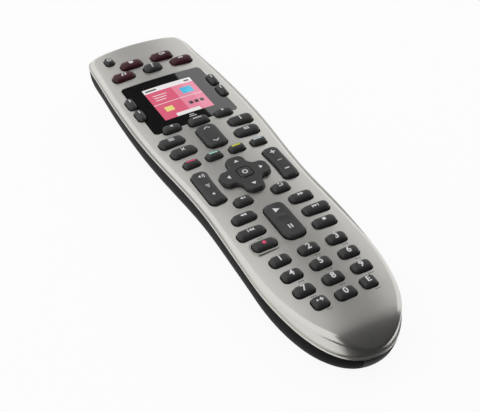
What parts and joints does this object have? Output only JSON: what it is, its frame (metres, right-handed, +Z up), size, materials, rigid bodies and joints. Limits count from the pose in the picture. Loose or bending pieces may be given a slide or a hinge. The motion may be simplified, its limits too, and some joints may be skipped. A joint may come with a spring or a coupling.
{
  "type": "universal remote control",
  "caption": "Handheld remote control with a colour display, pressed keys, tilting rockers, a tilting direction pad, a sliding battery cover and a port cover.",
  "frame": {"origin": "middle of the footprint, on the flat underside", "axes": "+Y along the case towards the screen end, +X to the right of someone who reads the keys, +Z up out of the key face"},
  "size_m": [0.062, 0.2298, 0.0264],
  "materials": {
    "silver_paint": "satin",
    "black_shell": "satin",
    "key_rubber": "soft matte",
    "activity_rubber": "soft matte",
    "window_gloss": "polished",
    "display_panel": "lit screen",
    "mat_rubber": "matte",
    "board_resin": "satin",
    "cell_jacket": "satin",
    "contact_spring": "plated",
    "screw_steel": "plated",
    "infrared_dark": "polished",
    "flap_rubber": "matte",
    "pivot_plastic": "plain"
  },
  "bodies": {
    "case": {"top_housing": "silver_paint", "bottom_housing": "black_shell", "screen_window": "window_gloss", "display_module": "display_panel", "keypad_mat": "mat_rubber", "circuit_board": "board_resin", "battery_cells": "cell_jacket", "battery_contacts": "contact_spring", "housing_screws": "screw_steel", "infrared_window": "infrared_dark"},
    "power_key": {"power_key": "key_rubber"},
    "activity_key_1": {"activity_key_1": "activity_rubber"},
    "activity_key_2": {"activity_key_2": "activity_rubber"},
    "activity_key_3": {"activity_key_3": "activity_rubber"},
    "activity_key_4": {"activity_key_4": "activity_rubber"},
    "help_key": {"help_key": "key_rubber"},
    "side_key_1": {"side_key_1": "key_rubber"},
    "side_key_2": {"side_key_2": "key_rubber"},
    "side_key_3": {"side_key_3": "key_rubber"},
    "side_key_4": {"side_key_4": "key_rubber"},
    "left_arrow_key": {"left_arrow_key": "key_rubber"},
    "right_arrow_key": {"right_arrow_key": "key_rubber"},
    "middle_key": {"middle_key": "key_rubber"},
    "menu_key": {"menu_key": "key_rubber"},
    "info_key": {"info_key": "key_rubber"},
    "exit_key": {"exit_key": "key_rubber"},
    "guide_key": {"guide_key": "key_rubber"},
    "red_key": {"red_key": "key_rubber"},
    "blue_key": {"blue_key": "key_rubber"},
    "green_key": {"green_key": "key_rubber"},
    "yellow_key": {"yellow_key": "key_rubber"},
    "mute_key": {"mute_key": "key_rubber"},
    "return_key": {"return_key": "key_rubber"},
    "rewind_key": {"rewind_key": "key_rubber"},
    "fast_forward_key": {"fast_forward_key": "key_rubber"},
    "skip_back_key": {"skip_back_key": "key_rubber"},
    "skip_forward_key": {"skip_forward_key": "key_rubber"},
    "record_key": {"record_key": "key_rubber"},
    "stop_key": {"stop_key": "key_rubber"},
    "digit_key_0": {"digit_key_0": "key_rubber"},
    "digit_key_1": {"digit_key_1": "key_rubber"},
    "digit_key_2": {"digit_key_2": "key_rubber"},
    "digit_key_3": {"digit_key_3": "key_rubber"},
    "digit_key_4": {"digit_key_4": "key_rubber"},
    "digit_key_5": {"digit_key_5": "key_rubber"},
    "digit_key_6": {"digit_key_6": "key_rubber"},
    "digit_key_7": {"digit_key_7": "key_rubber"},
    "digit_key_8": {"digit_key_8": "key_rubber"},
    "digit_key_9": {"digit_key_9": "key_rubber"},
    "plus_key": {"plus_key": "key_rubber"},
    "enter_key": {"enter_key": "key_rubber"},
    "page_rocker": {"page_rocker": "key_rubber"},
    "volume_rocker": {"volume_rocker": "key_rubber"},
    "channel_rocker": {"channel_rocker": "key_rubber"},
    "play_pause_rocker": {"play_pause_rocker": "key_rubber"},
    "pad_pivot_plate": {"pad_pivot_plate": "pivot_plastic"},
    "direction_pad": {"direction_pad": "key_rubber"},
    "centre_key": {"centre_key": "key_rubber"},
    "battery_cover": {"battery_cover": "black_shell"},
    "port_cover": {"port_cover": "flap_rubber"}
  },
  "joints": [
    {"name": "battery_cover_slide", "type": "slide", "parent": "case", "child": "battery_cover", "axis": [0, -1, 0], "range_m": [0, 0.045]},
    {"name": "port_cover_hinge", "type": "hinge", "parent": "case", "child": "port_cover", "pos_m": [0, -0.11305, 0.0032], "axis": [1, 0, 0], "range_deg": [0, 80], "stiffness_Nm_per_rad": 0.002},
    {"name": "page_rocker_tilt", "type": "hinge", "parent": "case", "child": "page_rocker", "pos_m": [0, 0.02355, 0.02064], "axis": [1, 0, 0], "range_deg": [-3, 3], "stiffness_Nm_per_rad": 0.2},
    {"name": "volume_rocker_tilt", "type": "hinge", "parent": "case", "child": "volume_rocker", "pos_m": [-0.0187, -0.00846, 0.01971], "axis": [1, 0, 0], "range_deg": [-3, 3], "stiffness_Nm_per_rad": 0.2},
    {"name": "channel_rocker_tilt", "type": "hinge", "parent": "case", "child": "channel_rocker", "pos_m": [0.0187, -0.00846, 0.01971], "axis": [1, 0, 0], "range_deg": [-3, 3], "stiffness_Nm_per_rad": 0.2},
    {"name": "play_pause_rocker_tilt", "type": "hinge", "parent": "case", "child": "play_pause_rocker", "pos_m": [0, -0.04271, 0.02004], "axis": [1, 0, 0], "range_deg": [-3, 3], "stiffness_Nm_per_rad": 0.2},
    {"name": "pad_tilt_up_down", "type": "hinge", "parent": "case", "child": "pad_pivot_plate", "pos_m": [0, -0.00835, 0.01945], "axis": [1, 0, 0], "range_deg": [-2.5, 2.5], "stiffness_Nm_per_rad": 0.2},
    {"name": "pad_tilt_left_right", "type": "hinge", "parent": "pad_pivot_plate", "child": "direction_pad", "pos_m": [0, -0.00835, 0.01945], "axis": [0, 1, 0], "range_deg": [-2.5, 2.5], "stiffness_Nm_per_rad": 0.2},
    {"name": "centre_key_press", "type": "slide", "parent": "direction_pad", "child": "centre_key", "axis": [0, 0, -1], "range_m": [0, 0.0008], "stiffness_N_per_m": 1500},
    {"name": "power_key_press", "type": "slide", "parent": "case", "child": "power_key", "axis": [0, 0, -1], "range_m": [0, 0.0008], "stiffness_N_per_m": 1500},
    {"name": "activity_key_1_press", "type": "slide", "parent": "case", "child": "activity_key_1", "axis": [0, 0, -1], "range_m": [0, 0.0008], "stiffness_N_per_m": 1500},
    {"name": "activity_key_2_press", "type": "slide", "parent": "case", "child": "activity_key_2", "axis": [0, 0, -1], "range_m": [0, 0.0008], "stiffness_N_per_m": 1500},
    {"name": "activity_key_3_press", "type": "slide", "parent": "case", "child": "activity_key_3", "axis": [0, 0, -1], "range_m": [0, 0.0008], "stiffness_N_per_m": 1500},
    {"name": "activity_key_4_press", "type": "slide", "parent": "case", "child": "activity_key_4", "axis": [0, 0, -1], "range_m": [0, 0.0008], "stiffness_N_per_m": 1500},
    {"name": "help_key_press", "type": "slide", "parent": "case", "child": "help_key", "axis": [0, 0, -1], "range_m": [0, 0.0008], "stiffness_N_per_m": 1500},
    {"name": "side_key_1_press", "type": "slide", "parent": "case", "child": "side_key_1", "axis": [0, 0, -1], "range_m": [0, 0.0008], "stiffness_N_per_m": 1500},
    {"name": "side_key_2_press", "type": "slide", "parent": "case", "child": "side_key_2", "axis": [0, 0, -1], "range_m": [0, 0.0008], "stiffness_N_per_m": 1500},
    {"name": "side_key_3_press", "type": "slide", "parent": "case", "child": "side_key_3", "axis": [0, 0, -1], "range_m": [0, 0.0008], "stiffness_N_per_m": 1500},
    {"name": "side_key_4_press", "type": "slide", "parent": "case", "child": "side_key_4", "axis": [0, 0, -1], "range_m": [0, 0.0008], "stiffness_N_per_m": 1500},
    {"name": "left_arrow_key_press", "type": "slide", "parent": "case", "child": "left_arrow_key", "axis": [0, 0, -1], "range_m": [0, 0.0008], "stiffness_N_per_m": 1500},
    {"name": "right_arrow_key_press", "type": "slide", "parent": "case", "child": "right_arrow_key", "axis": [0, 0, -1], "range_m": [0, 0.0008], "stiffness_N_per_m": 1500},
    {"name": "middle_key_press", "type": "slide", "parent": "case", "child": "middle_key", "axis": [0, 0, -1], "range_m": [0, 0.0008], "stiffness_N_per_m": 1500},
    {"name": "menu_key_press", "type": "slide", "parent": "case", "child": "menu_key", "axis": [0, 0, -1], "range_m": [0, 0.0008], "stiffness_N_per_m": 1500},
    {"name": "info_key_press", "type": "slide", "parent": "case", "child": "info_key", "axis": [0, 0, -1], "range_m": [0, 0.0008], "stiffness_N_per_m": 1500},
    {"name": "exit_key_press", "type": "slide", "parent": "case", "child": "exit_key", "axis": [0, 0, -1], "range_m": [0, 0.0008], "stiffness_N_per_m": 1500},
    {"name": "guide_key_press", "type": "slide", "parent": "case", "child": "guide_key", "axis": [0, 0, -1], "range_m": [0, 0.0008], "stiffness_N_per_m": 1500},
    {"name": "red_key_press", "type": "slide", "parent": "case", "child": "red_key", "axis": [0, 0, -1], "range_m": [0, 0.0008], "stiffness_N_per_m": 1500},
    {"name": "blue_key_press", "type": "slide", "parent": "case", "child": "blue_key", "axis": [0, 0, -1], "range_m": [0, 0.0008], "stiffness_N_per_m": 1500},
    {"name": "green_key_press", "type": "slide", "parent": "case", "child": "green_key", "axis": [0, 0, -1], "range_m": [0, 0.0008], "stiffness_N_per_m": 1500},
    {"name": "yellow_key_press", "type": "slide", "parent": "case", "child": "yellow_key", "axis": [0, 0, -1], "range_m": [0, 0.0008], "stiffness_N_per_m": 1500},
    {"name": "mute_key_press", "type": "slide", "parent": "case", "child": "mute_key", "axis": [0, 0, -1], "range_m": [0, 0.0008], "stiffness_N_per_m": 1500},
    {"name": "return_key_press", "type": "slide", "parent": "case", "child": "return_key", "axis": [0, 0, -1], "range_m": [0, 0.0008], "stiffness_N_per_m": 1500},
    {"name": "rewind_key_press", "type": "slide", "parent": "case", "child": "rewind_key", "axis": [0, 0, -1], "range_m": [0, 0.0008], "stiffness_N_per_m": 1500},
    {"name": "fast_forward_key_press", "type": "slide", "parent": "case", "child": "fast_forward_key", "axis": [0, 0, -1], "range_m": [0, 0.0008], "stiffness_N_per_m": 1500},
    {"name": "skip_back_key_press", "type": "slide", "parent": "case", "child": "skip_back_key", "axis": [0, 0, -1], "range_m": [0, 0.0008], "stiffness_N_per_m": 1500},
    {"name": "skip_forward_key_press", "type": "slide", "parent": "case", "child": "skip_forward_key", "axis": [0, 0, -1], "range_m": [0, 0.0008], "stiffness_N_per_m": 1500},
    {"name": "record_key_press", "type": "slide", "parent": "case", "child": "record_key", "axis": [0, 0, -1], "range_m": [0, 0.0008], "stiffness_N_per_m": 1500},
    {"name": "stop_key_press", "type": "slide", "parent": "case", "child": "stop_key", "axis": [0, 0, -1], "range_m": [0, 0.0008], "stiffness_N_per_m": 1500},
    {"name": "digit_key_0_press", "type": "slide", "parent": "case", "child": "digit_key_0", "axis": [0, 0, -1], "range_m": [0, 0.0008], "stiffness_N_per_m": 1500},
    {"name": "digit_key_1_press", "type": "slide", "parent": "case", "child": "digit_key_1", "axis": [0, 0, -1], "range_m": [0, 0.0008], "stiffness_N_per_m": 1500},
    {"name": "digit_key_2_press", "type": "slide", "parent": "case", "child": "digit_key_2", "axis": [0, 0, -1], "range_m": [0, 0.0008], "stiffness_N_per_m": 1500},
    {"name": "digit_key_3_press", "type": "slide", "parent": "case", "child": "digit_key_3", "axis": [0, 0, -1], "range_m": [0, 0.0008], "stiffness_N_per_m": 1500},
    {"name": "digit_key_4_press", "type": "slide", "parent": "case", "child": "digit_key_4", "axis": [0, 0, -1], "range_m": [0, 0.0008], "stiffness_N_per_m": 1500},
    {"name": "digit_key_5_press", "type": "slide", "parent": "case", "child": "digit_key_5", "axis": [0, 0, -1], "range_m": [0, 0.0008], "stiffness_N_per_m": 1500},
    {"name": "digit_key_6_press", "type": "slide", "parent": "case", "child": "digit_key_6", "axis": [0, 0, -1], "range_m": [0, 0.0008], "stiffness_N_per_m": 1500},
    {"name": "digit_key_7_press", "type": "slide", "parent": "case", "child": "digit_key_7", "axis": [0, 0, -1], "range_m": [0, 0.0008], "stiffness_N_per_m": 1500},
    {"name": "digit_key_8_press", "type": "slide", "parent": "case", "child": "digit_key_8", "axis": [0, 0, -1], "range_m": [0, 0.0008], "stiffness_N_per_m": 1500},
    {"name": "digit_key_9_press", "type": "slide", "parent": "case", "child": "digit_key_9", "axis": [0, 0, -1], "range_m": [0, 0.0008], "stiffness_N_per_m": 1500},
    {"name": "plus_key_press", "type": "slide", "parent": "case", "child": "plus_key", "axis": [0, 0, -1], "range_m": [0, 0.0008], "stiffness_N_per_m": 1500},
    {"name": "enter_key_press", "type": "slide", "parent": "case", "child": "enter_key", "axis": [0, 0, -1], "range_m": [0, 0.0008], "stiffness_N_per_m": 1500}
  ]
}
